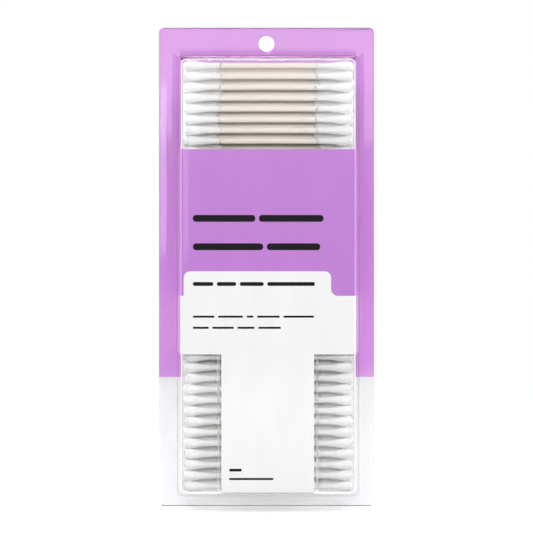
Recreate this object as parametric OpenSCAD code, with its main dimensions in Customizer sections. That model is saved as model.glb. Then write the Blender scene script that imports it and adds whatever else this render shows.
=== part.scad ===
// A hanging retail pack of double-ended cotton swabs: a printed card, a deep clear
// tray sealed to its front, and a printed T-shaped film label folded over the tray.
// The origin is the centre of the hang hole on the back of the card. +Z is up,
// +X is to the right as seen from the front, and the front faces -Y.

/* [Swabs] */
// Length of one swab, over both cotton buds
swab_len = 74; // [60:1:82]
// Diameter of the rolled paper stick
stick_d = 2.5; // [1.8:0.1:3]
// Largest diameter of a cotton bud
bud_d = 4.7; // [3.8:0.1:6]
// Length of the cotton on each end of a stick
bud_len = 15.6; // [13.6:0.2:20]
// Diameter of the blunt end of a bud
bud_end_d = 1.4; // [0.6:0.1:2.4]
// Length of the round nose of a bud
bud_nose_len = 3; // [2:0.1:4]
// Length over which the bud thins down behind its nose
bud_taper_len = 9.5; // [6:0.5:10]
// Thickness of the cotton where it runs out on the stick
cotton_edge_t = 0.08; // [0.04:0.01:0.2]
// Cotton in front of the end of the stick
bud_cap_len = 1.2; // [0.6:0.1:2]
// Space between two buds that lie side by side in a layer
side_gap = 0.06; // [0.03:0.01:0.3]
// Space between a bud and the ones it nests against in the next layer
nest_gap = 0.04; // [0.03:0.01:0.3]
// Swabs in the first layer, behind the front of the tray
rows = 40; // [30:1:44]
// Swabs in the last layer, next to the card
last_layer_swabs = 26; // [4:1:30]

/* [Tray] */
// Thickness of the clear plastic
wall_t = 0.35; // [0.2:0.05:0.7]
// Outer radius of the edge round the front face
edge_r = 1; // [0.7:0.1:2]
// Corner radius of the tray, seen from the front
tray_corner_r = 2.4; // [2.1:0.1:8]
// How far each side wall leans out from the front to the card
side_flare = 2.65; // [1:0.05:6]
// How far the top and bottom walls lean out from the front to the card
end_flare = 4.1; // [1:0.05:8]
// Space from the ends of the swabs to the side walls, at the front
end_space = 1.1; // [0.4:0.1:4]
// Space from the stack of swabs to the front, the card, and the top and bottom walls
stack_space = 0.25; // [0.1:0.05:0.8]
// How far the tray sits to the right of the card's centre line
tray_shift = 0.75; // [-3:0.05:3]

/* [Card] */
// Thickness of the board
board_t = 0.5; // [0.3:0.05:1.5]
// Thickness of a printed field of ink, on the card and on the label
ink_t = 0.05; // [0.03:0.01:0.1]
// Width of the card beside the tray
side_margin = 7.65; // [5:0.05:20]
// Height of the card above the tray
top_margin = 12.6; // [12.2:0.1:40]
// Height of the card below the tray
bottom_margin = 4.6; // [2:0.1:30]
// Corner radius of the card
card_corner_r = 2.3; // [0.5:0.1:10]
// Diameter of the hang hole
hole_d = 7.2; // [5:0.1:8]
// Distance from the card's top edge to the centre of the hang hole
hole_drop = 7.3; // [6:0.1:7.8]
// Height of the unprinted white field along the bottom of the card
card_white_h = 58.6; // [20:0.2:100]

/* [Label] */
// Thickness of the label film
film_t = 0.12; // [0.08:0.01:0.3]
// Thickness of the glue under the label
glue_t = 0.03; // [0.02:0.01:0.1]
// Height of the clear window above the label
window_h = 39.9; // [10:0.1:60]
// Height of the wide band of the label
band_h = 90.4; // [50:0.2:100]
// Height of the white field along the bottom of the wide band
band_white_h = 25.8; // [10:0.2:34]
// Height of the white tab that stands up into the coloured field
tab_h = 10.8; // [7:0.1:14]
// Distance from the left side of the tray's front face to the tab
tab_left_inset = 1.2; // [0.6:0.1:6]
// Distance from the right side of the tray's front face to the tab
tab_right_inset = 10.75; // [6:0.25:40]
// Radius of the two top corners of the tab
tab_corner_r = 2.8; // [0.5:0.1:3.4]
// Radius of the hollow corner at the foot of the tab
tab_hollow_r = 3.1; // [0.5:0.1:3.4]
// Width of the film in the stem of the label
stem_film_w = 44.7; // [20:0.1:56]
// Clear margin of film on each side of the stem's print
stem_clear_w = 1.9; // [0.5:0.1:5]
// How far the stem sits to the right of the tray's centre line
stem_shift = -0.2; // [-4:0.1:4]
// Radius of the rear corners of the label's two side wings
wing_corner_r = 3; // [0.5:0.1:12]
// Width of the foot of each wing, which is folded out onto the flange
foot_w = 1; // [0.4:0.1:4]

/* [Hidden] */

// Fineness of round shapes
$fn = 48;
// A cut runs this far past the faces that it passes through
over = 1;

// The stack of swabs: layers nest half a pitch apart, the first one behind the front face
layers = 13;
row_pitch = bud_d + side_gap;
layer_pitch = sqrt(pow(bud_d + nest_gap, 2) - pow(row_pitch / 2, 2));
stack_h = (rows - 1) * row_pitch + bud_d;
stack_depth = (layers - 1) * layer_pitch + bud_d;

// The bud thins along a curve that leaves its nose softly and dies away on the stick
nose_steps = 3;
taper_steps = 4;
taper_swell = 1.3;
taper_power = 2;
swab_fn = 24;
bud_r = bud_d / 2;
bud_end_r = bud_end_d / 2;
stick_r = stick_d / 2;
bud_tail_r = stick_r + cotton_edge_t;
stick_len = swab_len - 2 * bud_cap_len;

// Depths are measured from the back of the flange to the front, heights from the tray's centre
tray_depth = stack_depth + 2 * stack_space + wall_t;
side_lean = atan(side_flare / tray_depth);
end_lean = atan(end_flare / tray_depth);
front_w = swab_len + 2 * end_space + 2 * wall_t / cos(side_lean);
front_h = stack_h + 2 * stack_space + 2 * wall_t / cos(end_lean);
base_w = front_w + 2 * side_flare;
base_h = front_h + 2 * end_flare;
edge_depth = tray_depth - edge_r;
edge_from = max(side_lean, end_lean);
edge_steps = 5;
corner_steps = 5;

// Places in the frame of the hang hole
card_w = base_w + 2 * side_margin;
card_h = top_margin + base_h + bottom_margin;
card_top = hole_drop;
card_bottom = card_top - card_h;
flange_back_y = -(board_t + ink_t);
tray_x = tray_shift;
tray_z = card_top - top_margin - base_h / 2;

// Heights on the label, from the tray's centre
label_top = front_h / 2 - window_h;
label_bottom = label_top - band_h;
white_top = label_bottom + band_white_h;
tab_left = tab_left_inset - front_w / 2;
tab_right = front_w / 2 - tab_right_inset;
tab_top = white_top + tab_h;

// Distances of the label's faces from the tray's outer faces, and the depths of its feet
film_in = glue_t;
film_out = film_in + film_t;
ink_out = film_out + ink_t;
foot_back = wall_t + film_in;
foot_front = wall_t + film_out;

purple = [0.77, 0.52, 0.85];
white = [0.96, 0.96, 0.97];
paper = [0.95, 0.91, 0.86];
clear = [0.85, 0.9, 0.95, 0.25];

// Points of an arc, from one angle to another
function arc(x, y, r, from, to, steps) =
    [for (i = [0 : steps]) let (a = from + (to - from) * i / steps) [x + r * cos(a), y + r * sin(a)]];

function reversed(points) = [for (i = [len(points) - 1 : -1 : 0]) points[i]];

function mirrored(points) = [for (p = reversed(points)) [-p[0], p[1]]];

// A tray wall starts half_base from the centre and leans in by the angle lean. The edge
// between it and the front face is an arc whose centre lies edge_r inside both.
function edge_x(half_base, lean) = half_base - (edge_r + edge_depth * sin(lean)) / cos(lean);

// Half of the tray's section, from the wall at foot_depth round to the front face, as
// [distance from the centre, depth], with its faces moved outwards by out
function half_section(half_base, lean, out, foot_depth) =
    concat([[half_base + out / cos(lean) - foot_depth * tan(lean), foot_depth]],
           arc(edge_x(half_base, lean), edge_depth, edge_r + out, edge_from, 90, edge_steps));

// The part of a section that out and further lie on both sides of: a skin over the tray
function skin(half_base, lean, out, further, foot_depth) =
    let (outer = half_section(half_base, lean, further, foot_depth),
         inner = half_section(half_base, lean, out, foot_depth))
    concat(outer, mirrored(outer), reversed(mirrored(inner)), reversed(inner));

module at_tray() translate([tray_x, flange_back_y, tray_z]) children();

// A flat plate that faces -Y and starts at y = 0
module upright(t) rotate([90, 0, 0]) linear_extrude(height = t) children();

// A bar along X, from an outline in Y and Z
module along_x(w) rotate([90, 0, 90]) translate([0, 0, -w / 2]) linear_extrude(height = w) children();

module rounded_rectangle(w, h, r) {
    square([w - 2 * r, h], center = true);
    square([w, h - 2 * r], center = true);
    for (x = [r - w / 2, w / 2 - r], y = [r - h / 2, h / 2 - r])
        translate([x, y]) circle(r);
}

module card_outline() translate([0, (card_top + card_bottom) / 2]) rounded_rectangle(card_w, card_h, card_corner_r);

module hang_hole() rotate([90, 0, 0]) cylinder(h = 2 * (board_t + ink_t + wall_t) + over, d = hole_d, center = true);

module backing_card() color(white)
    difference() {
        upright(board_t) card_outline();
        hang_hole();
    }

module card_ink() color(purple)
    difference() {
        translate([0, -board_t, 0]) upright(ink_t)
            difference() {
                card_outline();
                translate([-card_w, card_bottom - over]) square([2 * card_w, card_white_h + over]);
            }
        hang_hole();
    }

// One level of the tray: a rounded rectangle whose four corners are arcs
function ring(half_w, half_h, r, depth) =
    [for (corner = [0 : 3], i = [0 : corner_steps])
        let (a = 90 * (corner + i / corner_steps),
             x = (corner == 0 || corner == 3 ? 1 : -1) * (half_w - r),
             z = (corner < 2 ? 1 : -1) * (half_h - r))
        [x + r * cos(a), -depth, z + r * sin(a)]];

// The tray's form as levels joined into one solid, with its faces moved outwards by out
module tray_form(out, foot_depth) {
    sides = half_section(base_w / 2, side_lean, out, foot_depth);
    ends = half_section(base_h / 2, end_lean, out, foot_depth);
    last = len(sides) - 1;
    rings = [for (i = [0 : last])
        let (turn_in = i == 0 ? 0 : (edge_r + out) - (sides[i][0] - sides[last][0]))
        ring(sides[i][0], ends[i][0], tray_corner_r + out - turn_in, sides[i][1])];
    n = 4 * (corner_steps + 1);
    polyhedron(
        points = [for (level = rings, p = level) p],
        faces = concat(
            [[for (j = [0 : n - 1]) j]],
            [[for (j = [n - 1 : -1 : 0]) last * n + j]],
            [for (i = [0 : last - 1], j = [0 : n - 1])
                let (a = i * n + j, b = i * n + (j + 1) % n) each [[a, a + n, b], [b, a + n, b + n]]]),
        convexity = 2);
}

module tray() color(clear)
    difference() {
        union() {
            at_tray() tray_form(0, 0);
            translate([0, flange_back_y, 0]) upright(wall_t) card_outline();
        }
        at_tray() tray_form(-wall_t, -over);
        hang_hole();
    }

// The wide band is a skin over the front and both side walls
module band_skin(out, further, foot_depth, bottom, top)
    translate([0, 0, bottom])
        linear_extrude(height = top - bottom)
            polygon([for (p = skin(base_w / 2, side_lean, out, further, foot_depth)) [p[0], -p[1]]]);

// The stem is a skin over the front, round the bottom edge and back along the bottom wall
module stem_skin(out, further, foot_depth, w) {
    outer = half_section(base_h / 2, end_lean, further, foot_depth);
    inner = half_section(base_h / 2, end_lean, out, foot_depth);
    translate([stem_shift, 0, 0])
        along_x(w)
            polygon([for (p = concat(outer, [[-white_top, tray_depth + further], [-white_top, tray_depth + out]],
                                     reversed(inner))) [-p[1], -p[0]]]);
}

// Side view of the wings, with round corners where they meet the flange
module wing_outline() {
    r = wing_corner_r;
    front = -(tray_depth + over);
    along_x(base_w + 4 * foot_w + 2 * over)
        polygon(concat([[front, label_top], [front, label_bottom]],
                       arc(-foot_back - r, label_bottom + r, r, -90, 0, edge_steps),
                       arc(-foot_back - r, label_top - r, r, 0, 90, edge_steps)));
}

// Front view of the white field: its tab has two round corners and a hollow one at its foot
module tab_block()
    rotate([90, 0, 0])
        translate([0, 0, edge_depth])
            linear_extrude(height = edge_r + over)
                polygon(concat([[tab_left, white_top]],
                               arc(tab_left + tab_corner_r, tab_top - tab_corner_r, tab_corner_r, 180, 90, edge_steps),
                               arc(tab_right - tab_corner_r, tab_top - tab_corner_r, tab_corner_r, 90, 0, edge_steps),
                               arc(tab_right + tab_hollow_r, white_top + tab_hollow_r, tab_hollow_r,
                                   180, 270, edge_steps)));

module label_film() color(clear)
    at_tray() {
        intersection() {
            union() {
                band_skin(film_in, film_out, foot_back, label_bottom, label_top);
                for (side = [-1, 1])
                    translate([side * (base_w + foot_w) / 2, -foot_front, (label_bottom + label_top) / 2])
                        translate([0, film_t / 2, 0])
                            cube([foot_w, film_t, band_h], center = true);
            }
            wing_outline();
        }
        stem_skin(film_in, film_out, foot_back, stem_film_w);
    }

module label_purple_ink() color(purple)
    at_tray()
        difference() {
            intersection() {
                band_skin(film_out, ink_out, foot_front, white_top, label_top);
                wing_outline();
            }
            tab_block();
        }

module label_white_ink() color(white)
    at_tray() {
        intersection() {
            band_skin(film_out, ink_out, foot_front, label_bottom, white_top);
            wing_outline();
        }
        intersection() {
            band_skin(film_out, ink_out, foot_front, white_top, tab_top);
            tab_block();
        }
        stem_skin(film_out, ink_out, foot_back, stem_film_w - 2 * stem_clear_w);
    }

// Places each swab of a layer. The first layer lies behind the front face; every second
// layer holds one swab less, and the last one is only part full.
module each_swab(layer) {
    count = layer == layers ? last_layer_swabs : layer % 2 == 1 ? rows : rows - 1;
    lowest = bud_r - stack_h / 2 + (layer % 2 == 1 ? 0 : row_pitch / 2);
    depth = tray_depth - wall_t - stack_space - bud_r - (layer - 1) * layer_pitch;
    at_tray()
        for (i = [0 : count - 1])
            translate([0, -depth, lowest + i * row_pitch]) children();
}

module sticks(layer) color(paper)
    each_swab(layer) rotate([0, 90, 0]) cylinder(h = stick_len, d = stick_d, center = true, $fn = swab_fn);

// One bud, from its nose at the origin along +X, with the bore that holds the stick's end
module bud()
    rotate([0, 90, 0])
        rotate_extrude($fn = swab_fn)
            polygon(concat(
                [[0, 0]],
                [for (i = [0 : nose_steps]) let (a = 90 * i / nose_steps)
                    [bud_end_r + (bud_r - bud_end_r) * sin(a), bud_nose_len * (1 - cos(a))]],
                [for (i = [1 : taper_steps]) let (u = i / taper_steps)
                    [bud_tail_r + (bud_r - bud_tail_r) * pow(1 - pow(u, taper_swell), taper_power),
                     bud_nose_len + bud_taper_len * u]],
                [[bud_tail_r, bud_len], [stick_r, bud_len], [stick_r, bud_cap_len], [0, bud_cap_len]]));

module buds(layer) color(white)
    each_swab(layer)
        for (side = [0, 1])
            mirror([side, 0, 0]) translate([-swab_len / 2, 0, 0]) bud();

backing_card();
card_ink();
tray();
label_film();
label_purple_ink();
label_white_ink();
sticks(1);  // sticks_layer_01
sticks(2);  // sticks_layer_02
sticks(3);  // sticks_layer_03
sticks(4);  // sticks_layer_04
sticks(5);  // sticks_layer_05
sticks(6);  // sticks_layer_06
sticks(7);  // sticks_layer_07
sticks(8);  // sticks_layer_08
sticks(9);  // sticks_layer_09
sticks(10);  // sticks_layer_10
sticks(11);  // sticks_layer_11
sticks(12);  // sticks_layer_12
sticks(13);  // sticks_layer_13
buds(1);  // buds_layer_01
buds(2);  // buds_layer_02
buds(3);  // buds_layer_03
buds(4);  // buds_layer_04
buds(5);  // buds_layer_05
buds(6);  // buds_layer_06
buds(7);  // buds_layer_07
buds(8);  // buds_layer_08
buds(9);  // buds_layer_09
buds(10);  // buds_layer_10
buds(11);  // buds_layer_11
buds(12);  // buds_layer_12
buds(13);  // buds_layer_13
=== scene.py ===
"""The looks of a hanging pack of cotton swabs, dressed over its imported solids.

Sizes are written in millimetres and turned into metres by MM. Places come from the boxes of
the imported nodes. +X is to the right, the front faces -Y and +Z is up.
"""
import math
import random

import bmesh
import bpy
from mathutils import Matrix, Vector, noise


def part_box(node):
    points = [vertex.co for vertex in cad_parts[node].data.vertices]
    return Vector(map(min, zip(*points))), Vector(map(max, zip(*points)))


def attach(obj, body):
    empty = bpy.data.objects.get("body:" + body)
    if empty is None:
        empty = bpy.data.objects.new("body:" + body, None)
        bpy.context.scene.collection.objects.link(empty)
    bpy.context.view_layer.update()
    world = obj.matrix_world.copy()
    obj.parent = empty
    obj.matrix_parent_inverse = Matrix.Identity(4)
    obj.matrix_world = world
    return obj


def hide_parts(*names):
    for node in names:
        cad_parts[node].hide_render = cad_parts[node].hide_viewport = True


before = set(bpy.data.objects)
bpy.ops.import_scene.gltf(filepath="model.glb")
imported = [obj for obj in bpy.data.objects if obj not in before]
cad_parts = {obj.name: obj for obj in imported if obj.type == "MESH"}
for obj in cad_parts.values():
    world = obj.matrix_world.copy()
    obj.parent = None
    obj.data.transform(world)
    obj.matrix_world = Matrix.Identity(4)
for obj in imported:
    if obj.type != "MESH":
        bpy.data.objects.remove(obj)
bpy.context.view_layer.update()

MM = 0.001
LAYER_COUNT = 13
LAYERS = [f"{i + 1:02d}" for i in range(LAYER_COUNT)]


def size_of(node):
    """Width, depth and height of a node's box."""
    low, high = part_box(node)
    return [high[i] - low[i] for i in range(3)]


def middle_of(node):
    """Centre of a node's box."""
    low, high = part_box(node)
    return Vector([(low[i] + high[i]) / 2 for i in range(3)])


# Plastic tray
WALL_T = 0.35 * MM
EDGE_R = 1 * MM
TRAY_CORNER_R = 2.4 * MM
SIDE_FLARE = 2.65 * MM
END_FLARE = 4.1 * MM
END_SPACE = 1.1 * MM
STACK_SPACE = 0.25 * MM
FOOT_FILLET_R = 0.3 * MM
CARD_CORNER_R = 2.3 * MM
# Width of the grey line painted along the flange's bottom edge as shade where the card stands on the floor
SHADE_LINE_W = 0.45 * MM
HOLE_R = 3.6 * MM

# Swabs
STICK_R = 1.25 * MM
BUD_R = 2.35 * MM
BUD_LEN = 15.6 * MM
BUD_CAP = 1.2 * MM
SIDE_GAP = 0.06 * MM
ROW_PITCH = 2 * BUD_R + SIDE_GAP
SWAB_LEN = size_of("buds_layer_01")[0]

# Label: heights from the tray's middle
FOOT_BACK = 0.38 * MM
WING_CORNER_R = 3 * MM
PRINT_T = 0.03 * MM
PRINT_OUT = 0.18 * MM
INK_LIFT = 0.01 * MM
INK_LAP = 0.3 * MM
LABEL_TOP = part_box("label_purple_ink")[1][2] - middle_of("buds_layer_01").z
WHITE_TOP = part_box("label_purple_ink")[0][2] - middle_of("buds_layer_01").z
TAB_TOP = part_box("label_white_ink")[1][2] - middle_of("buds_layer_01").z
BAND_H = 90.4 * MM
LABEL_BOTTOM = LABEL_TOP - BAND_H
TAB_LEFT = -37.25 * MM
TAB_RIGHT = 27.7 * MM
TAB_CORNER_R = 2.8 * MM
TAB_HOLLOW_R = 3.1 * MM
STEM_W = 40.9 * MM
STEM_FILM_W = 44.7 * MM
STEM_SHIFT = -0.2 * MM
FOOT_W = 1 * MM
FILM_OUT = 0.15 * MM
LINE_W = 0.4 * MM
LONGEST_STEP = 3 * MM
SMALL_ARC_STEPS = 6
LABEL_SHARP_FROM = math.radians(50)

# Plain bars printed on the label, in millimetres from the tray's middle: left end, height of
# the middle, thickness, then the length of each bar
BAR_GAP = 1.6
BAR_ROUNDING = 0.45
BAR_LINES = [
    (-33.2, 25.4, 3, (27.5, 28.5)),
    (-33.2, 12.9, 3, (31, 23.5)),
    (-33.2, -3.5, 1.7, (9, 8.5, 10.5, 21)),
    (-33.2, -17.9, 0.9, (9.5, 11, 3, 10, 13.5)),
    (-33.2, -22.8, 0.9, (7, 9.5, 7.5, 10)),
    (-17.2, -85.5, 1.2, (5.5,)),
    (-17.2, -89.4, 0.9, (19.5,)),
]

CARD_LOW, CARD_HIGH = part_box("backing_card")
CARD_MID = middle_of("backing_card")
TRAY_MID = middle_of("buds_layer_01")
FLANGE_BACK_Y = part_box("card_ink")[0][1]
FLANGE_FRONT_Y = FLANGE_BACK_Y - WALL_T
TRAY_DEPTH = FLANGE_BACK_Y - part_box("tray")[0][1]

# The photograph's camera: level, in front of the card's middle, with this width in view at the card
CAMERA_DISTANCE = 1905 * MM
VIEW_WIDTH = 241.8 * MM
SENSOR_MM = 36
CAMERA_RISE = 0.2 * MM
CAMERA_REACH = 20


# Colours


def linear(r, g, b):
    """A colour given as 0 to 255 display values, as Blender's linear one."""
    out = []
    for v in (r, g, b):
        c = v / 255
        out.append(c / 12.92 if c <= 0.04045 else ((c + 0.055) / 1.055) ** 2.4)
    return (*out, 1)


CARD_PURPLE = linear(203, 135, 216)
LABEL_PURPLE = linear(196, 126, 216)
PRINT_WHITE = linear(252, 252, 252)
BOARD_WHITE = linear(222, 222, 224)
COTTON = linear(250, 250, 249)
STICK = linear(238, 229, 219)
INK_BLACK = linear(22, 18, 26)
# Painted highlight: the colour of the faint lines along the film's edges, its crease and the wings' feet,
# where light catches them
FILM_LINE_HIGHLIGHT = linear(238, 237, 238)
# Painted highlight and painted shade on the tray's rolled front edge: a white line on its outer part stands
# in for the highlight there, and a grey line on its inner part for its dark edge
RIM_HIGHLIGHT_WHITE = linear(252, 252, 252)
RIM_SHADE_GREY = linear(205, 202, 204)
# Painted shade: a grey line along the flange's bottom edge, where the card stands on the floor
BOTTOM_LINE_SHADE = linear(120, 118, 120)

# What clear plastic lets through, seen straight on and along its surface
CLEAR = (1, 1, 1, 1)
FRONT_EDGE_TINT = (0.93, 0.93, 0.94, 1)
FILM_EDGE_TINT = (0.94, 0.94, 0.95, 1)
# The top wall's tints are painted shade: they darken it, and its reflection too, to a dark magenta line
# along the top of the tray, in place of the shadow the wall casts
TOP_WALL_SHADE_FACING = (0.97, 0.96, 0.97, 1)
TOP_WALL_SHADE_ALONG = (0.5, 0.4, 0.48, 1)
BOTTOM_EDGE_TINT = (0.95, 0.95, 0.95, 1)
FOOT_TINT = (0.94, 0.93, 0.94, 1)


# Materials

CLEAR_ROUGHNESS = 0.04
PLASTIC_MIRROR = 0.04
FILM_MIRROR = 0.01
MIRROR_POWER = 5
EDGE_TINT_FROM = 0.45
COAT_ROUGHNESS = 0.07
CLOUD_SWING = 0.15


def new_material(name):
    """A material with an empty node tree, and the helpers that add and link nodes in it."""
    mat = bpy.data.materials.new(name)
    mat.use_nodes = True
    mat.node_tree.nodes.clear()
    return mat, mat.node_tree.nodes.new, mat.node_tree.links.new


def math_between(add, link, operation, first, second):
    """A maths node on a socket and a second value, which is a socket or a number."""
    node = add("ShaderNodeMath")
    node.operation = operation
    link(first, node.inputs[0])
    if isinstance(second, (int, float)):
        node.inputs[1].default_value = second
    else:
        link(second, node.inputs[1])
    return node.outputs[0]


def ramp_between(add, link, value, low, high, low_at=0, high_at=1):
    """A value that goes from low to high as another one goes from low_at to high_at."""
    node = add("ShaderNodeMapRange")
    link(value, node.inputs["Value"])
    for name, number in (("From Min", low_at), ("From Max", high_at), ("To Min", low), ("To Max", high)):
        node.inputs[name].default_value = number
    return node.outputs[0]


def principled(name, colour, roughness, specular):
    """A Principled material, its node, and the helpers of new_material."""
    mat, add, link = new_material(name)
    out = add("ShaderNodeOutputMaterial")
    shader = add("ShaderNodeBsdfPrincipled")
    shader.inputs["Base Color"].default_value = colour
    shader.inputs["Roughness"].default_value = roughness
    shader.inputs["Specular IOR Level"].default_value = specular
    link(shader.outputs[0], out.inputs["Surface"])
    return mat, add, link, shader


def noise_at(add, link, stretch, scale, detail=3, roughness=0.5):
    """A noise texture over the object's own coordinates, stretched along its axes."""
    where = add("ShaderNodeTexCoord")
    mapping = add("ShaderNodeMapping")
    mapping.inputs["Scale"].default_value = stretch
    texture = add("ShaderNodeTexNoise")
    texture.inputs["Scale"].default_value = scale
    texture.inputs["Detail"].default_value = detail
    texture.inputs["Roughness"].default_value = roughness
    link(where.outputs["Object"], mapping.inputs["Vector"])
    link(mapping.outputs[0], texture.inputs["Vector"])
    return texture.outputs["Fac"]


def bump_from(add, link, height, strength, distance):
    """A bump of the given depth in metres."""
    bump = add("ShaderNodeBump")
    bump.inputs["Strength"].default_value = strength
    bump.inputs["Distance"].default_value = distance
    link(height, bump.inputs["Height"])
    return bump.outputs["Normal"]


def two_tone(add, link, factor, low, high, low_at=0.35, high_at=0.65):
    """A colour ramp between two colours."""
    ramp = add("ShaderNodeValToRGB")
    ramp.color_ramp.elements[0].position = low_at
    ramp.color_ramp.elements[0].color = low
    ramp.color_ramp.elements[1].position = high_at
    ramp.color_ramp.elements[1].color = high
    link(factor, ramp.inputs["Fac"])
    return ramp.outputs["Color"]


def shade(colour, factor):
    """A colour made darker or lighter."""
    return (*[min(1, c * factor) for c in colour[:3]], 1)


def printed_material(name, colour, roughness, specular=0.4, film=False):
    """Ink on smooth stock, with the faintest mottle and a soft gloss, or the full gloss of film over it."""
    mat, add, link, shader = principled(name, colour, roughness, specular)
    if film:
        shader.inputs["Coat Weight"].default_value = 1
        shader.inputs["Coat Roughness"].default_value = COAT_ROUGHNESS
    mottle = noise_at(add, link, stretch=(1, 1, 0.25), scale=90, detail=4, roughness=0.6)
    link(two_tone(add, link, mottle, shade(colour, 0.975), shade(colour, 1.01)), shader.inputs["Base Color"])
    sag = noise_at(add, link, stretch=(1, 1, 0.35), scale=45, detail=2)
    link(bump_from(add, link, sag, strength=0.2, distance=0.4 * MM), shader.inputs["Normal"])
    return mat


def board_material():
    """White coated board, with fibre just showing in its cut edges and back."""
    mat, add, link, shader = principled("white_board", BOARD_WHITE, roughness=0.55, specular=0.35)
    fibre = noise_at(add, link, stretch=(1, 1, 1), scale=700, detail=5, roughness=0.6)
    colour = two_tone(add, link, fibre, shade(BOARD_WHITE, 0.965), shade(BOARD_WHITE, 1.01))
    link(colour, shader.inputs["Base Color"])
    link(bump_from(add, link, fibre, strength=0.2, distance=0.03 * MM), shader.inputs["Normal"])
    return mat


def clear_material(name, mirror, face_tint, edge_tint, wave=None, flat=False):
    """Thin clear plastic, which tints and mirrors more where it is seen along its surface.

    Light from lamps goes straight through. A wave is a bump, given as its stretch, scale and
    depth, and flat measures the view against the plain faces.
    """
    mat, add, link = new_material(name)
    facing = add("ShaderNodeLayerWeight")
    facing.inputs["Blend"].default_value = 0.5
    along = facing.outputs["Facing"]
    through = add("ShaderNodeBsdfTransparent")
    tint = two_tone(add, link, along, face_tint, edge_tint, low_at=EDGE_TINT_FROM, high_at=1)
    link(tint, through.inputs["Color"])
    gloss = add("ShaderNodeBsdfGlossy")
    gloss.inputs["Roughness"].default_value = CLEAR_ROUGHNESS
    gloss.inputs["Color"].default_value = edge_tint
    if wave:
        stretch, scale, depth = wave
        waves = noise_at(add, link, stretch, scale, detail=2, roughness=0.4)
        normal = bump_from(add, link, waves, strength=1, distance=depth)
        for node in (gloss, facing):
            link(normal, node.inputs["Normal"])
    if flat:
        link(add("ShaderNodeNewGeometry").outputs["True Normal"], facing.inputs["Normal"])
    share = ramp_between(add, link, math_between(add, link, "POWER", along, MIRROR_POWER), mirror, 1)
    seen = mixed(add, link, share, through, gloss)
    in_shadow = add("ShaderNodeLightPath").outputs["Is Shadow Ray"]
    lit = mixed(add, link, in_shadow, seen, add("ShaderNodeBsdfTransparent"))
    link(lit.outputs[0], add("ShaderNodeOutputMaterial").inputs["Surface"])
    return mat


def mixed(add, link, share, first, second):
    """A mix of two shaders, with this share of the second one."""
    mix = add("ShaderNodeMixShader")
    link(share, mix.inputs["Fac"])
    link(first.outputs[0], mix.inputs[1])
    link(second.outputs[0], mix.inputs[2])
    return mix


def rim_material(name, colour, cover):
    """A flat colour laid partly over what is behind it, its cover varying in cloudy patches, for lines of
    painted highlight and painted shade on the clear sheets.
    """
    mat, add, link, shader = principled(name, colour, roughness=0.2, specular=0.5)
    cloud = noise_at(add, link, stretch=(1, 1, 1), scale=60)
    amount = ramp_between(add, link, cloud, cover - CLOUD_SWING, cover + CLOUD_SWING)
    link(amount, shader.inputs["Alpha"])
    return mat


def cotton_material():
    """Wound cotton: soft white with fine fibres that run mostly along the bud."""
    mat, add, link, shader = principled("wound_cotton", COTTON, roughness=0.95, specular=0.1)
    shader.inputs["Subsurface Weight"].default_value = 1
    shader.inputs["Subsurface Scale"].default_value = 3 * MM
    shader.inputs["Subsurface Radius"].default_value = (1, 1, 1)
    strands = noise_at(add, link, stretch=(0.22, 1, 1), scale=1500, detail=5, roughness=0.65)
    clumps = noise_at(add, link, stretch=(0.5, 1, 1), scale=420)
    colour = two_tone(add, link, clumps, shade(COTTON, 0.91), shade(COTTON, 1.02))
    link(colour, shader.inputs["Base Color"])
    link(bump_from(add, link, strands, strength=0.8, distance=0.35 * MM), shader.inputs["Normal"])
    return mat


def stick_material():
    """Rolled cream paper with the faint lines of its turns."""
    mat, add, link, shader = principled("rolled_paper", STICK, roughness=0.6, specular=0.35)
    lines = noise_at(add, link, stretch=(0.04, 1, 1), scale=1400, detail=4, roughness=0.6)
    link(two_tone(add, link, lines, shade(STICK, 0.955), shade(STICK, 1.02)), shader.inputs["Base Color"])
    link(bump_from(add, link, lines, strength=0.35, distance=0.04 * MM), shader.inputs["Normal"])
    return mat


# Mesh helpers


def new_piece(name, points, faces, material, smooth=True):
    """A mesh object in the part's frame."""
    mesh = bpy.data.meshes.new(name)
    mesh.from_pydata(points, [], faces)
    mesh.update()
    mesh.shade_smooth() if smooth else mesh.shade_flat()
    piece = bpy.data.objects.new(name, mesh)
    bpy.context.scene.collection.objects.link(piece)
    mesh.materials.append(material)
    return piece


def apply_modifiers(piece):
    """Turns the piece's modifiers into plain mesh."""
    graph = bpy.context.evaluated_depsgraph_get()
    mesh = bpy.data.meshes.new_from_object(piece.evaluated_get(graph))
    piece.modifiers.clear()
    piece.data = mesh


def thicken(piece, thickness):
    """Gives a sheet its thickness, on its inner side."""
    thick = piece.modifiers.new("sheet", "SOLIDIFY")
    thick.thickness = thickness
    thick.offset = -1
    apply_modifiers(piece)


def paint_node(node, material):
    """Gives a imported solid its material."""
    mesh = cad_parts[node].data
    mesh.materials.clear()
    mesh.materials.append(material)


# Tray

CORNER_STEPS = 9
EDGE_STEPS = 8
FILLET_STEPS = 3
LONG_STEPS = 14
SHORT_STEPS = 6
FRONT_INSET = 1.5 * MM
LAST_WALL_RING = 0.6 * MM
HOLE_SIDES = 64
PUNCH_LEN = 6 * MM
TRAY_SHARP_FROM = math.radians(40)

# Zones of the tray's sheet, each with a material of its own
FRONT, SIDE_WALL, TOP_WALL, BOTTOM_WALL, RIM, RIM_LINE, FOOT, BOTTOM_SHADE_LINE = range(8)

# How much of a face's normal points forwards: more than this on flat faces, less than the second
# on the rim up to its inner line, and more than the third on the foot's fillet
FLAT_SHARE = 0.98
RIM_SHARE = 0.85
FOOT_SHARE = 0.1


def lean_of(flare):
    """Angle by which a wall with this flare leans out."""
    return math.atan(flare / TRAY_DEPTH)


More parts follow.
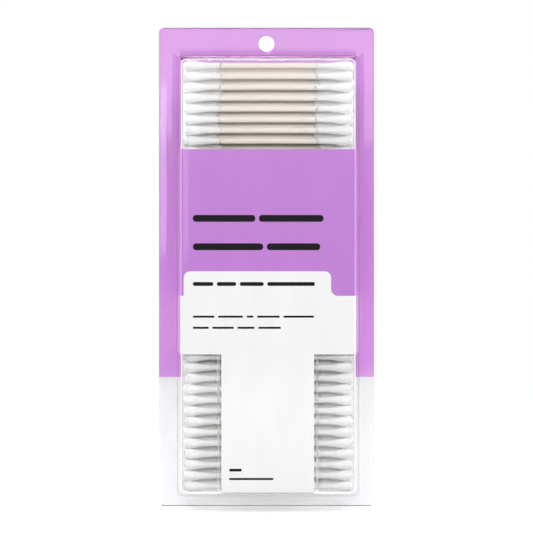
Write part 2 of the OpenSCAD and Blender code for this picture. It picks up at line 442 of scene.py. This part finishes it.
SIDE_LEAN = lean_of(SIDE_FLARE)
END_LEAN = lean_of(END_FLARE)
STACK_H = size_of("buds_layer_01")[2]
HALF_BASE_W = (SWAB_LEN + 2 * END_SPACE + 2 * WALL_T / math.cos(SIDE_LEAN)) / 2 + SIDE_FLARE
HALF_BASE_H = (STACK_H + 2 * STACK_SPACE + 2 * WALL_T / math.cos(END_LEAN)) / 2 + END_FLARE


def wall_at(half_base, lean, depth):
    """Distance of a wall from the tray's middle at a depth."""
    return half_base - depth * math.tan(lean)


def edge_middle(half_base, lean):
    """Distance of the front edge's arc centre from the tray's middle."""
    depth = TRAY_DEPTH - EDGE_R
    return half_base - (EDGE_R + depth * math.sin(lean)) / math.cos(lean)


def rounded_ring(half_w, half_h, radius, mid_x, mid_z, y):
    """Points round a rectangle with arcs at its corners, the same number on every ring."""
    points = []
    spots = ((1, 1), (-1, 1), (-1, -1), (1, -1))
    for corner, (sx, sz) in enumerate(spots):
        cx, cz = sx * (half_w - radius), sz * (half_h - radius)
        for i in range(CORNER_STEPS + 1):
            a = math.pi / 2 * (corner + i / CORNER_STEPS)
            points.append((cx + radius * math.cos(a), cz + radius * math.sin(a)))
        nx, nz = spots[(corner + 1) % 4]
        ex, ez = nx * (half_w - radius), nz * (half_h - radius)
        start = points[-1]
        a = math.pi / 2 * (corner + 1)
        end = (ex + radius * math.cos(a), ez + radius * math.sin(a))
        steps = SHORT_STEPS if corner % 2 == 0 else LONG_STEPS
        for i in range(1, steps):
            t = i / steps
            points.append((start[0] + (end[0] - start[0]) * t, start[1] + (end[1] - start[1]) * t))
    return [(mid_x + x, y, mid_z + z) for x, z in points]


def wall_ring(depth, out=0):
    """A ring on the walls' outer faces at a depth, or this far outside them."""
    return rounded_ring(
        wall_at(HALF_BASE_W, SIDE_LEAN, depth) + out,
        wall_at(HALF_BASE_H, END_LEAN, depth) + out,
        TRAY_CORNER_R + out,
        TRAY_MID.x,
        TRAY_MID.z,
        FLANGE_BACK_Y - depth,
    )


def flange_ring(inset):
    """A ring on the flange's front, this far inside its rim."""
    return rounded_ring(
        (CARD_HIGH[0] - CARD_LOW[0]) / 2 - inset,
        (CARD_HIGH[2] - CARD_LOW[2]) / 2 - inset,
        CARD_CORNER_R - inset,
        CARD_MID.x,
        CARD_MID.z,
        FLANGE_FRONT_Y,
    )


def edge_ring(angle):
    """A ring on the rolled front edge, at this angle round its arc."""
    out = EDGE_R * math.cos(angle)
    return rounded_ring(
        edge_middle(HALF_BASE_W, SIDE_LEAN) + out,
        edge_middle(HALF_BASE_H, END_LEAN) + out,
        TRAY_CORNER_R - EDGE_R + out,
        TRAY_MID.x,
        TRAY_MID.z,
        FLANGE_BACK_Y - (TRAY_DEPTH - EDGE_R + EDGE_R * math.sin(angle)),
    )


def tray_rings():
    """Rings of the tray's outer face, from the flange's rim up the walls to the front."""
    rings = [flange_ring(0), flange_ring(SHADE_LINE_W)]
    for i in range(FILLET_STEPS + 1):
        a = math.pi / 2 * i / FILLET_STEPS
        depth = WALL_T + FOOT_FILLET_R * (1 - math.cos(a))
        rings.append(wall_ring(depth, FOOT_FILLET_R * (1 - math.sin(a))))
    top = TRAY_DEPTH - EDGE_R
    for depth in (WALL_T + 2 * FOOT_FILLET_R, top * 0.25, top * 0.5, top * 0.75, top - LAST_WALL_RING):
        rings.append(wall_ring(depth))
    from_angle = max(SIDE_LEAN, END_LEAN)
    for i in range(EDGE_STEPS + 1):
        rings.append(edge_ring(from_angle + (math.pi / 2 - from_angle) * i / EDGE_STEPS))
    inner = [
        (
            TRAY_MID.x + (x - TRAY_MID.x) * (1 - FRONT_INSET / HALF_BASE_W),
            y,
            TRAY_MID.z + (z - TRAY_MID.z) * (1 - FRONT_INSET / HALF_BASE_H),
        )
        for x, y, z in rings[-1]
    ]
    return rings + [inner]


def sheet_zone(polygon):
    """The zone of one of the tray's faces, by its depth and the way it faces."""
    depth = FLANGE_BACK_Y - polygon.center.y
    sideways, forwards, upwards = [abs(v) for v in polygon.normal]
    if forwards > FLAT_SHARE:
        # Along the bottom of the flange's rim a grey line is painted as shade
        return BOTTOM_SHADE_LINE if polygon.center.z < CARD_LOW[2] + SHADE_LINE_W else FRONT
    if depth > TRAY_DEPTH - EDGE_R:
        return RIM if forwards < RIM_SHARE else RIM_LINE
    if depth < WALL_T + FOOT_FILLET_R and forwards > FOOT_SHARE:
        return FOOT
    if sideways > upwards:
        return SIDE_WALL
    return TOP_WALL if polygon.center.z > TRAY_MID.z else BOTTOM_WALL


def tray_materials():
    """The materials of the sheet's zones, in their order."""
    front_wave = ((1, 1, 0.4), 40, 0.2 * MM)
    return [
        clear_material("clear_plastic", PLASTIC_MIRROR, CLEAR, FRONT_EDGE_TINT, front_wave),
        clear_material("clear_plastic_wall", PLASTIC_MIRROR, CLEAR, CLEAR),
        # Painted shade: the top wall is tinted dark
        clear_material("clear_plastic_painted_shade_top_wall", PLASTIC_MIRROR, TOP_WALL_SHADE_FACING, TOP_WALL_SHADE_ALONG),
        clear_material("clear_plastic_bottom_wall", PLASTIC_MIRROR, CLEAR, BOTTOM_EDGE_TINT),
        # The rolled front edge gets a painted white highlight line and, inside it, a painted grey shade line
        rim_material("clear_plastic_painted_rim_highlight", RIM_HIGHLIGHT_WHITE, cover=0.85),
        rim_material("clear_plastic_painted_rim_shade", RIM_SHADE_GREY, cover=0.42),
        clear_material("clear_plastic_foot", 0, FOOT_TINT, FOOT_TINT),
        # Painted shade: the grey line along the flange's bottom edge
        rim_material("clear_plastic_painted_bottom_shade", BOTTOM_LINE_SHADE, cover=0.6),
    ]


def build_tray(materials):
    """One formed sheet: flange, walls and front, with the hang hole cut through the flange."""
    rings = tray_rings()
    n = len(rings[0])
    points = [p for ring in rings for p in ring]
    faces = []
    for level in range(len(rings) - 1):
        for i in range(n):
            a, b = level * n + i, level * n + (i + 1) % n
            faces.append((a, b, b + n, a + n))
    faces.append(tuple(range((len(rings) - 1) * n, len(rings) * n)))
    tray = new_piece("clear_tray", points, faces, materials[0])
    for material in materials[1:]:
        tray.data.materials.append(material)
    fix = bmesh.new()
    fix.from_mesh(tray.data)
    bmesh.ops.recalc_face_normals(fix, faces=fix.faces)
    front = max(fix.faces, key=lambda f: len(f.verts))
    if front.normal.y > 0:
        bmesh.ops.reverse_faces(fix, faces=fix.faces)
    fix.to_mesh(tray.data)
    fix.free()
    thicken(tray, WALL_T)
    bpy.ops.mesh.primitive_cylinder_add(
        vertices=HOLE_SIDES,
        radius=HOLE_R,
        depth=PUNCH_LEN,
        location=(0, FLANGE_FRONT_Y, 0),
        rotation=(math.pi / 2, 0, 0),
    )
    punch = bpy.context.object
    hole = tray.modifiers.new("hang_hole", "BOOLEAN")
    hole.operation = "DIFFERENCE"
    hole.solver = "EXACT"
    hole.object = punch
    apply_modifiers(tray)
    bpy.data.objects.remove(punch)
    for polygon in tray.data.polygons:
        polygon.material_index = sheet_zone(polygon)
    tray.data.set_sharp_from_angle(angle=TRAY_SHARP_FROM)
    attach(tray, "root")
    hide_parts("tray")
    return tray


# Label


def half_section(half_base, lean, out, foot_depth, steps=10):
    """A wall from its foot round to the front, this far outside, as (distance from the middle, depth)."""
    points = [(half_base + out / math.cos(lean) - foot_depth * math.tan(lean), foot_depth)]
    middle, depth = edge_middle(half_base, lean), TRAY_DEPTH - EDGE_R
    from_angle = max(SIDE_LEAN, END_LEAN)
    for i in range(steps + 1):
        a = from_angle + (math.pi / 2 - from_angle) * i / steps
        points.append((middle + (EDGE_R + out) * math.cos(a), depth + (EDGE_R + out) * math.sin(a)))
    return points


def split_line(points, longest):
    """The same line with extra points, so that no step is longer than longest."""
    out = [points[0]]
    for a, b in zip(points, points[1:]):
        n = max(1, math.ceil(math.dist(a, b) / longest))
        out.extend(tuple(a[k] + (b[k] - a[k]) * i / n for k in range(len(a))) for i in range(1, n + 1))
    return out


def sheet_piece(name, rows, material, thickness):
    """A thin sheet from rows of points, with its thickness on the inner side."""
    n = len(rows[0])
    points = [p for row in rows for p in row]
    faces = []
    for j in range(len(rows) - 1):
        for i in range(n - 1):
            a = j * n + i
            faces.append((a, a + 1, a + n + 1, a + n))
    piece = new_piece(name, points, faces, material)
    thicken(piece, thickness)
    piece.data.set_sharp_from_angle(angle=LABEL_SHARP_FROM)
    return piece


def band_rows(out, low, high):
    """Rows of points over both side walls and the front, between two heights.

    Each height comes with whether the wings have round corners there, where they meet the card.
    """
    half = half_section(HALF_BASE_W, SIDE_LEAN, out, FOOT_BACK)
    line = [(-x, d) for x, d in half] + [(x, d) for x, d in reversed(half)]
    line = split_line(line, LONGEST_STEP)
    rows = []
    count = max(2, round((high[0] - low[0]) / LONGEST_STEP))
    for j in range(count + 1):
        t = j / count
        row = []
        for x, d in line:
            near = max(0, WING_CORNER_R - (d - FOOT_BACK))
            cut = WING_CORNER_R - math.sqrt(max(0, WING_CORNER_R**2 - near**2))
            bottom = low[0] + (cut if low[1] else 0)
            top = high[0] - (cut if high[1] else 0)
            row.append((TRAY_MID.x + x, FLANGE_BACK_Y - d, TRAY_MID.z + bottom + (top - bottom) * t))
        rows.append(row)
    return rows


def stem_rows(out, width, shift):
    """Rows of points down the front, round the bottom edge and back along the bottom wall."""
    half = half_section(HALF_BASE_H, END_LEAN, out, FOOT_BACK)
    line = [(-z, d) for z, d in half] + [(LABEL_BOTTOM, TRAY_DEPTH + out)]
    line = split_line(line, LONGEST_STEP)
    across = split_line([(shift - width / 2,), (shift + width / 2,)], LONGEST_STEP)
    return [[(TRAY_MID.x + x, FLANGE_BACK_Y - d, TRAY_MID.z + z) for (x,) in across] for z, d in line]


def arc_points(x, z, r, start, end, steps=10):
    """Points of an arc, with its angles in degrees."""
    out = []
    for i in range(steps + 1):
        a = math.radians(start + (end - start) * i / steps)
        out.append((x + r * math.cos(a), z + r * math.sin(a)))
    return out


def flat_print(name, outlines, out, material, thickness):
    """Flat shapes printed on the front face, from outlines in the tray's own x and z."""
    points, faces = [], []
    y = FLANGE_BACK_Y - TRAY_DEPTH - out
    for outline in outlines:
        base = len(points)
        points.extend((TRAY_MID.x + x, y, TRAY_MID.z + z) for x, z in outline)
        faces.append(tuple(range(base, base + len(outline))))
    piece = new_piece(name, points, faces, material, smooth=False)
    fix = bmesh.new()
    fix.from_mesh(piece.data)
    for face in fix.faces:
        if face.normal.y > 0:
            face.normal_flip()
    fix.to_mesh(piece.data)
    fix.free()
    thicken(piece, thickness)
    return piece


def join_pieces(name, pieces):
    """Makes one object of several."""
    bpy.ops.object.select_all(action="DESELECT")
    for other in pieces:
        other.select_set(True)
    bpy.context.view_layer.objects.active = pieces[0]
    bpy.ops.object.join()
    pieces[0].select_set(False)
    pieces[0].name = name
    return pieces[0]


def tab_outline():
    """The white field's tab, with two round corners and a hollow one at its foot."""
    r, hollow = TAB_CORNER_R, TAB_HOLLOW_R
    return (
        [(TAB_LEFT, WHITE_TOP - INK_LAP)]
        + arc_points(TAB_LEFT + r, TAB_TOP - r, r, 180, 90)
        + arc_points(TAB_RIGHT - r, TAB_TOP - r, r, 90, 0)
        + arc_points(TAB_RIGHT + hollow, WHITE_TOP + hollow, hollow, 180, 270)
        + [(TAB_RIGHT + hollow, WHITE_TOP - INK_LAP)]
    )


def bar_outline(left, right, low, high):
    """A bar with softly rounded corners."""
    r = BAR_ROUNDING * (high - low)
    out = []
    for x, z, start in (
        (right - r, high - r, 0),
        (left + r, high - r, 90),
        (left + r, low + r, 180),
        (right - r, low + r, 270),
    ):
        out.extend(arc_points(x * MM, z * MM, r * MM, start, start + 90, SMALL_ARC_STEPS))
    return out


def build_label(purple, white, black):
    """The two printed colours as wrapped sheets, and the plain bars on them."""
    purple_rows = band_rows(PRINT_OUT, (WHITE_TOP, False), (LABEL_TOP, True))
    white_rows = band_rows(PRINT_OUT, (LABEL_BOTTOM, True), (WHITE_TOP, False))
    purple_sheet = sheet_piece("label_purple", purple_rows, purple, PRINT_T)
    white_parts = [
        sheet_piece("label_white", white_rows, white, PRINT_T),
        sheet_piece("stem_white", stem_rows(PRINT_OUT, STEM_W, STEM_SHIFT), white, PRINT_T),
        flat_print("tab_white", [tab_outline()], PRINT_OUT + INK_LIFT, white, PRINT_T),
    ]
    white_sheet = join_pieces("label_white", white_parts)
    bars = []
    for left, middle, thickness, lengths in BAR_LINES:
        low, high = middle - thickness / 2, middle + thickness / 2
        for length in lengths:
            bars.append(bar_outline(left, left + length, low, high))
            left += length + BAR_GAP
    bar_print = flat_print("print_bars", bars, PRINT_OUT + 2 * INK_LIFT, black, PRINT_T)
    for piece, node in ((purple_sheet, "label_purple_ink"), (white_sheet, "label_white_ink")):
        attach(piece, "root")
        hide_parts(node)
    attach(bar_print, "root")


def ribbon(name, path, width, y, material):
    """A flat narrow line along a path of (x, z) points, facing forwards at the depth y."""
    points, faces = [], []
    for i, (x, z) in enumerate(path):
        before, after = path[max(0, i - 1)], path[min(len(path) - 1, i + 1)]
        along = Vector((after[0] - before[0], after[1] - before[1])).normalized() * width / 2
        points += [(x - along.y, y, z + along.x), (x + along.y, y, z - along.x)]
    for i in range(0, len(points) - 2, 2):
        faces.append((i, i + 2, i + 3, i + 1))
    return new_piece(name, points, faces, material, smooth=False)


def build_film_lines(material):
    """Whitish lines painted as highlight along the film's cut edges, a crease beside the stem's print, and
    the outer edges of the wings' feet.
    """
    lines = []
    crease = (STEM_FILM_W + STEM_W) / 4
    for side in (-1, 1):
        for place in (STEM_FILM_W / 2 - LINE_W / 2, crease):
            rows = stem_rows(FILM_OUT + INK_LIFT, LINE_W, STEM_SHIFT + side * place)
            lines.append(sheet_piece("line", rows, material, INK_LIFT))
        foot_x = HALF_BASE_W + FOOT_W
        turn = math.degrees(math.acos(1 - FOOT_W / WING_CORNER_R))
        middle_x = foot_x - WING_CORNER_R
        top, bottom = LABEL_TOP - WING_CORNER_R, LABEL_BOTTOM + WING_CORNER_R
        path = arc_points(middle_x, top, WING_CORNER_R, turn, 0, SMALL_ARC_STEPS)
        path += arc_points(middle_x, bottom, WING_CORNER_R, 0, -turn, SMALL_ARC_STEPS)
        path = [(TRAY_MID.x + side * x, TRAY_MID.z + z) for x, z in path]
        lines.append(ribbon("line", path, LINE_W, FLANGE_FRONT_Y - FILM_OUT - INK_LIFT, material))
    joined = join_pieces("film_lines", lines)
    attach(joined, "root")
    return joined


# Swabs

STICK_SIDES = 16

# A bud's form: its end, the round nose up to its full radius, then the taper down to its tail
BUD_END_R = 0.7 * MM
BUD_NOSE = 3 * MM
BUD_TAPER = 9.5 * MM
TAPER_BEND = 1.3
ROW_CROWDING = 1.35

# Its wound fibre: turns and patches per metre, how deep it sinks and swells, and where it fades
FIBRE_TWIST = 260
FIBRE_PATCHES = 330
FIBRE_ROUND = 1.4
FINE_FIBRE = 2.3
FINE_SHARE = 0.5
FIBRE_SINK = 0.1 * MM
FIBRE_SWELL = 0.12 * MM
TIP_FADE = 1.5 * MM
TAIL_FADE = 0.75
COVER_FROM = BUD_CAP + 0.6 * MM
LEAST_COVER = 0.02 * MM
TAIL_COVER = 0.01 * MM
TAIL_REACH = 0.35 * MM
TAIL_RAGGED = 0.9 * MM
TAIL_LOBES = 2
TAIL_SLICE = 9
SEED_RANGE = 50

# Points round a bud, rows along it, and the thickness of its cotton behind the swell
FRONT_DETAIL = (26, 24, 0.08 * MM)
INNER_DETAIL = (14, 13, 0.5 * MM)
BUD_KINDS = 12
INNER_SEEDS = 100

# How the swabs lie: their turn in radians, their slide as shares of the room they have, the share
# of that slide in the first layer, and how far the second layer has sunk
PLACING_SEED = 7
LEAN_JITTER = 0.0012
SLIDE_SHARE = (0.5, 0.92)
FRONT_SLIDE = 0.3
SECOND_DROP = 0.7 * MM


def bud_radius(s, neck):
    """Radius of a bud at the distance s from its end, with a neck of cotton this thick on its stick."""
    tail_r = STICK_R + neck
    if s <= BUD_NOSE:
        k = 1 - s / BUD_NOSE
        return BUD_END_R + (BUD_R - BUD_END_R) * math.sqrt(max(0, 1 - k * k))
    u = min(1, (s - BUD_NOSE) / BUD_TAPER)
    return tail_r + (BUD_R - tail_r) * (1 - u**TAPER_BEND) ** 2


def fibre_at(s, angle, shift):
    """Height of the wound fibre on a bud, from about -1 to 1."""
    where = Vector((s * FIBRE_PATCHES, math.cos(angle) * FIBRE_ROUND, math.sin(angle) * FIBRE_ROUND)) + shift
    return noise.noise(where) + FINE_SHARE * noise.noise(where * FINE_FIBRE)


def tail_at(angle, shift):
    """How far the ragged tail of a bud reaches past its length."""
    where = Vector((math.cos(angle) * TAIL_LOBES, math.sin(angle) * TAIL_LOBES, TAIL_SLICE)) + shift
    return TAIL_REACH + TAIL_RAGGED * noise.noise(where)


def bud_mesh(around, along, neck, seed):
    """Points and faces of one bud, from its end at the origin along +X, with wound fibre in its form."""
    rng = random.Random(seed)
    shift = Vector([rng.uniform(0, SEED_RANGE) for _ in range(3)])
    turn = rng.uniform(0, math.tau)
    rows = [BUD_LEN * (j / along) ** ROW_CROWDING for j in range(1, along + 1)]
    half = BUD_LEN / 2
    points = [(0, 0, 0)]
    for s in rows:
        fade = min(1, s / TIP_FADE) * (1 - TAIL_FADE * max(0, (s - half) / half))
        for i in range(around):
            a = math.tau * i / around
            fibre = fibre_at(s, a + turn + s * FIBRE_TWIST, shift)
            x, r = s, bud_radius(s, neck) - (FIBRE_SINK + FIBRE_SWELL * fibre) * fade
            if s > COVER_FROM:
                r = max(r, STICK_R + LEAST_COVER)
            if s == rows[-1]:
                x, r = s + tail_at(a, shift), STICK_R + TAIL_COVER
            points.append((x, r * math.cos(a), r * math.sin(a)))
    faces = [(0, 1 + i, 1 + (i + 1) % around) for i in range(around)]
    for j in range(along - 1):
        for i in range(around):
            a, b = 1 + j * around + i, 1 + j * around + (i + 1) % around
            faces.append((a, a + around, b + around, b))
    end = len(points)
    faces.append(tuple(range(end - 1, end - around - 1, -1)))
    return points, faces


def stick_mesh(around):
    """Points and faces of one stick, centred on the origin along X."""
    half = SWAB_LEN / 2 - BUD_CAP
    points, faces = [], []
    for x in (-half, half):
        for i in range(around):
            a = math.tau * i / around
            points.append((x, STICK_R * math.cos(a), STICK_R * math.sin(a)))
    for i in range(around):
        j = (i + 1) % around
        faces.append((i, j, around + j, around + i))
    faces.append(tuple(range(around - 1, -1, -1)))
    faces.append(tuple(range(around, 2 * around)))
    return points, faces


def join_copies(name, copies, material):
    """One mesh of many placed copies, each given as (points, faces, matrix, flipped)."""
    points, faces = [], []
    for some_points, some_faces, matrix, flipped in copies:
        base = len(points)
        points.extend(tuple(matrix @ Vector(p)) for p in some_points)
        for face in some_faces:
            moved = [base + i for i in face]
            faces.append(tuple(reversed(moved)) if flipped else tuple(moved))
    return new_piece(name, points, faces, material)


def swab_places(layer):
    """Centre line of each swab in a layer, as (y, z), from the layer's box."""
    low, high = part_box("buds_layer_" + layer)
    count = round((high[2] - low[2] - 2 * BUD_R) / ROW_PITCH) + 1
    y = (low[1] + high[1]) / 2
    return [(y, low[2] + BUD_R + i * ROW_PITCH) for i in range(count)]


def build_swabs(cotton, paper):
    """Every layer of swabs: a piece of sticks and a piece of buds for each."""
    rng = random.Random(PLACING_SEED)
    front = [bud_mesh(*FRONT_DETAIL, seed) for seed in range(BUD_KINDS)]
    inner = [bud_mesh(*INNER_DETAIL, INNER_SEEDS + seed) for seed in range(BUD_KINDS)]
    stick = stick_mesh(STICK_SIDES)
    for layer in LAYERS:
        kinds = front if layer == "01" else inner
        sticks, buds = [], []
        for y, z in swab_places(layer):
            room = END_SPACE + SIDE_FLARE * (1 + (y - FLANGE_BACK_Y) / TRAY_DEPTH)
            slide = rng.choice((-1, 1)) * rng.uniform(*SLIDE_SHARE) * room
            if layer == "01":
                slide *= FRONT_SLIDE
            if layer == "02":
                z -= SECOND_DROP
            lean = Matrix.Rotation(rng.uniform(-LEAN_JITTER, LEAN_JITTER), 4, "Y")
            place = Matrix.Translation((TRAY_MID.x + slide, y, z)) @ lean
            sticks.append((*stick, place, False))
            for side in (1, -1):
                turned = Matrix.Rotation(rng.uniform(0, math.tau), 4, "X")
                mirror = Matrix.Diagonal((side, 1, 1, 1))
                at_end = Matrix.Translation((-side * SWAB_LEN / 2, 0, 0))
                buds.append((*rng.choice(kinds), place @ at_end @ mirror @ turned, side < 0))
        for kind, copies, material, slot in (
            ("sticks", sticks, paper, "stick_paper"),
            ("buds", buds, cotton, "cotton"),
        ):
            piece = join_copies(f"{kind}_{layer}", copies, material)
            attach(piece, "root")
            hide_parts(f"{kind}_layer_{layer}")


# Stage


def add_camera():
    """The photograph's view: level, in front of the card's middle."""
    data = bpy.data.cameras.new("camera")
    data.sensor_width = SENSOR_MM
    data.lens = SENSOR_MM * CAMERA_DISTANCE / VIEW_WIDTH
    data.clip_end = CAMERA_REACH
    camera = bpy.data.objects.new("camera", data)
    camera.location = (0, -CAMERA_DISTANCE, CARD_MID.z + CAMERA_RISE)
    camera.rotation_euler = (math.pi / 2, 0, 0)
    bpy.context.scene.collection.objects.link(camera)
    bpy.context.scene.camera = camera


# The floor's colour and glow: low as a light on the pack, high as it is seen
FLOOR_SIZE = 4.4
FLOOR_GAP = 0.02 * MM
FLOOR_WHITE, FLOOR_SEEN_WHITE = 0.35, 0.85
FLOOR_GLOW, FLOOR_SEEN_GLOW = 0.1, 0.435

# The world's strength in front of the pack, and on the panels at its sides and above it. The
# ranges are directions along Y, and sideways or upwards, over which it changes.
WORLD_FRONT = 0.28
SIDE_PANELS = 2.5
TOP_PANEL = 1.5
TO_BEHIND = (-0.1, 0.15)
TO_PANEL = (0.7, 0.8)

# Lamps: place from the card's middle, width and height, brightness
LAMPS = {
    "key": ((0, -1.82, 0.86), (0.9, 0.18), 25),
    "over_camera": ((0, -2.1, 0.4), (1.0, 0.56), 1.25),
    "low_fill": ((0, -1.9, -0.6), (0.9, 0.2), 8),
    "left_panel": ((-0.2, -2.05, 0.09), (0.2, 0.16), 1.5),
    "left_strip": ((-1.3, -0.4, 0.2), (0.12, 0.9), 15),
    "right_strip": ((1.3, -0.4, 0.2), (0.12, 0.9), 17.5),
    "card_fill": ((0, -2.0, -0.3), (0.5, 0.2), 5.5),
}
FOOT_FILL = ((0, -0.1, -0.06), (0.1, 0.02), 12)
WATTS_PER_BRIGHTNESS = 4

# Clear faces that a ray may pass on its way
CLEAR_FACES = 32


def add_floor():
    """A white floor at the foot of the card, which glows a little to keep the pack's shadow on it light."""
    bpy.ops.mesh.primitive_plane_add(size=FLOOR_SIZE, location=(0, 0, CARD_LOW[2] - FLOOR_GAP))
    floor = bpy.context.object
    floor.name = "floor"
    mat, add, link = new_material("floor_white")
    path = add("ShaderNodeLightPath")
    seen = path.outputs["Is Camera Ray"]
    for ray in ("Is Glossy Ray", "Is Transmission Ray"):
        seen = math_between(add, link, "MAXIMUM", seen, path.outputs[ray])
    plain = add("ShaderNodeBsdfDiffuse")
    glow = add("ShaderNodeEmission")
    link(ramp_between(add, link, seen, FLOOR_WHITE, FLOOR_SEEN_WHITE), plain.inputs["Color"])
    link(ramp_between(add, link, seen, FLOOR_GLOW, FLOOR_SEEN_GLOW), glow.inputs["Strength"])
    both = add("ShaderNodeAddShader")
    link(plain.outputs[0], both.inputs[0])
    link(glow.outputs[0], both.inputs[1])
    link(both.outputs[0], add("ShaderNodeOutputMaterial").inputs["Surface"])
    floor.data.materials.append(mat)


def add_world():
    """Dim in front of the pack and white behind it, with bright panels beside it that only gloss shows."""
    world = bpy.data.worlds.new("studio")
    bpy.context.scene.world = world
    world.use_nodes = True
    world.node_tree.nodes.clear()
    add, link = world.node_tree.nodes.new, world.node_tree.links.new
    path = add("ShaderNodeLightPath")
    split = add("ShaderNodeSeparateXYZ")
    link(add("ShaderNodeTexCoord").outputs["Generated"], split.inputs[0])
    around = ramp_between(add, link, split.outputs["Y"], WORLD_FRONT, 1, *TO_BEHIND)
    sideways = math_between(add, link, "ABSOLUTE", split.outputs["X"], 0)
    aside = ramp_between(add, link, sideways, 0, SIDE_PANELS, *TO_PANEL)
    above = ramp_between(add, link, split.outputs["Z"], 0, TOP_PANEL, *TO_PANEL)
    either = math_between(add, link, "MAXIMUM", aside, above)
    panels = math_between(add, link, "MULTIPLY", either, path.outputs["Is Glossy Ray"])
    total = math_between(add, link, "MAXIMUM", around, panels)
    total = math_between(add, link, "MAXIMUM", total, path.outputs["Is Camera Ray"])
    light = add("ShaderNodeBackground")
    light.inputs["Color"].default_value = (1, 1, 1, 1)
    link(total, light.inputs["Strength"])
    link(light.outputs[0], add("ShaderNodeOutputWorld").inputs["Surface"])


def add_lamp(name, place, aim, size, brightness):
    """A soft box of the given width and height, aimed at a point."""
    data = bpy.data.lights.new(name, "AREA")
    data.shape = "RECTANGLE"
    data.size, data.size_y = size
    data.energy = brightness * size[0] * size[1] * WATTS_PER_BRIGHTNESS
    lamp = bpy.data.objects.new(name, data)
    lamp.location = place
    lamp.rotation_euler = (Vector(aim) - Vector(place)).to_track_quat("-Z", "Y").to_euler()
    bpy.context.scene.collection.objects.link(lamp)
    return lamp


def light_only(lamp, pieces, shadows_from):
    """Keeps a lamp to a few pieces, with shadows from only some of them."""
    lit = bpy.data.collections.new(lamp.name + "_lit")
    blocking = bpy.data.collections.new(lamp.name + "_blocking")
    for piece in pieces:
        lit.objects.link(piece)
    for piece in shadows_from:
        blocking.objects.link(piece)
    lamp.light_linking.receiver_collection = lit
    lamp.light_linking.blocker_collection = blocking


def add_lamps(thin_pieces):
    """A high key light, low and side lights, a panel that shows in the plastic, and fills for the card."""
    lamps = {}
    for name, (place, size, brightness) in LAMPS.items():
        x, y, z = place
        lamps[name] = add_lamp(name, (x, y, CARD_MID.z + z), (0, 0, CARD_MID.z), size, brightness)
    (x, y, z), size, brightness = FOOT_FILL
    foot = CARD_LOW[2]
    lamps["foot_fill"] = add_lamp("foot_fill", (x, y, foot + z), (0, 0, foot), size, brightness)
    for name in ("left_strip", "right_strip"):
        lamps[name].visible_glossy = False
    card = [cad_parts[node] for node in ("backing_card", "card_ink")]
    for name in ("card_fill", "foot_fill"):
        light_only(lamps[name], card + thin_pieces, card)


def set_output():
    """Colours go out as they are, with no film look, and the plastic stays clear in many layers."""
    scene = bpy.context.scene
    scene.view_settings.view_transform = "Standard"
    scene.cycles.transparent_max_bounces = CLEAR_FACES


set_output()
add_camera()
add_world()
add_floor()

film_wave = ((1, 1, 1), 60, 0.1 * MM)
clear_film = clear_material("clear_film", FILM_MIRROR, CLEAR, FILM_EDGE_TINT, film_wave, flat=True)
paint_node("backing_card", board_material())
paint_node("card_ink", printed_material("purple_print", CARD_PURPLE, roughness=0.35))
paint_node("label_film", clear_film)
build_label(
    printed_material("purple_label", LABEL_PURPLE, roughness=0.35, film=True),
    printed_material("white_label", PRINT_WHITE, roughness=0.4, film=True),
    printed_material("black_label", INK_BLACK, roughness=0.3, specular=0.1),
)
# The film's edges, crease and feet are real; their whitish lines are painted highlight
film_lines = build_film_lines(rim_material("film_line", FILM_LINE_HIGHLIGHT, cover=0.2))
tray_sheet = build_tray(tray_materials())
build_swabs(cotton_material(), stick_material())
add_lamps([tray_sheet, film_lines])
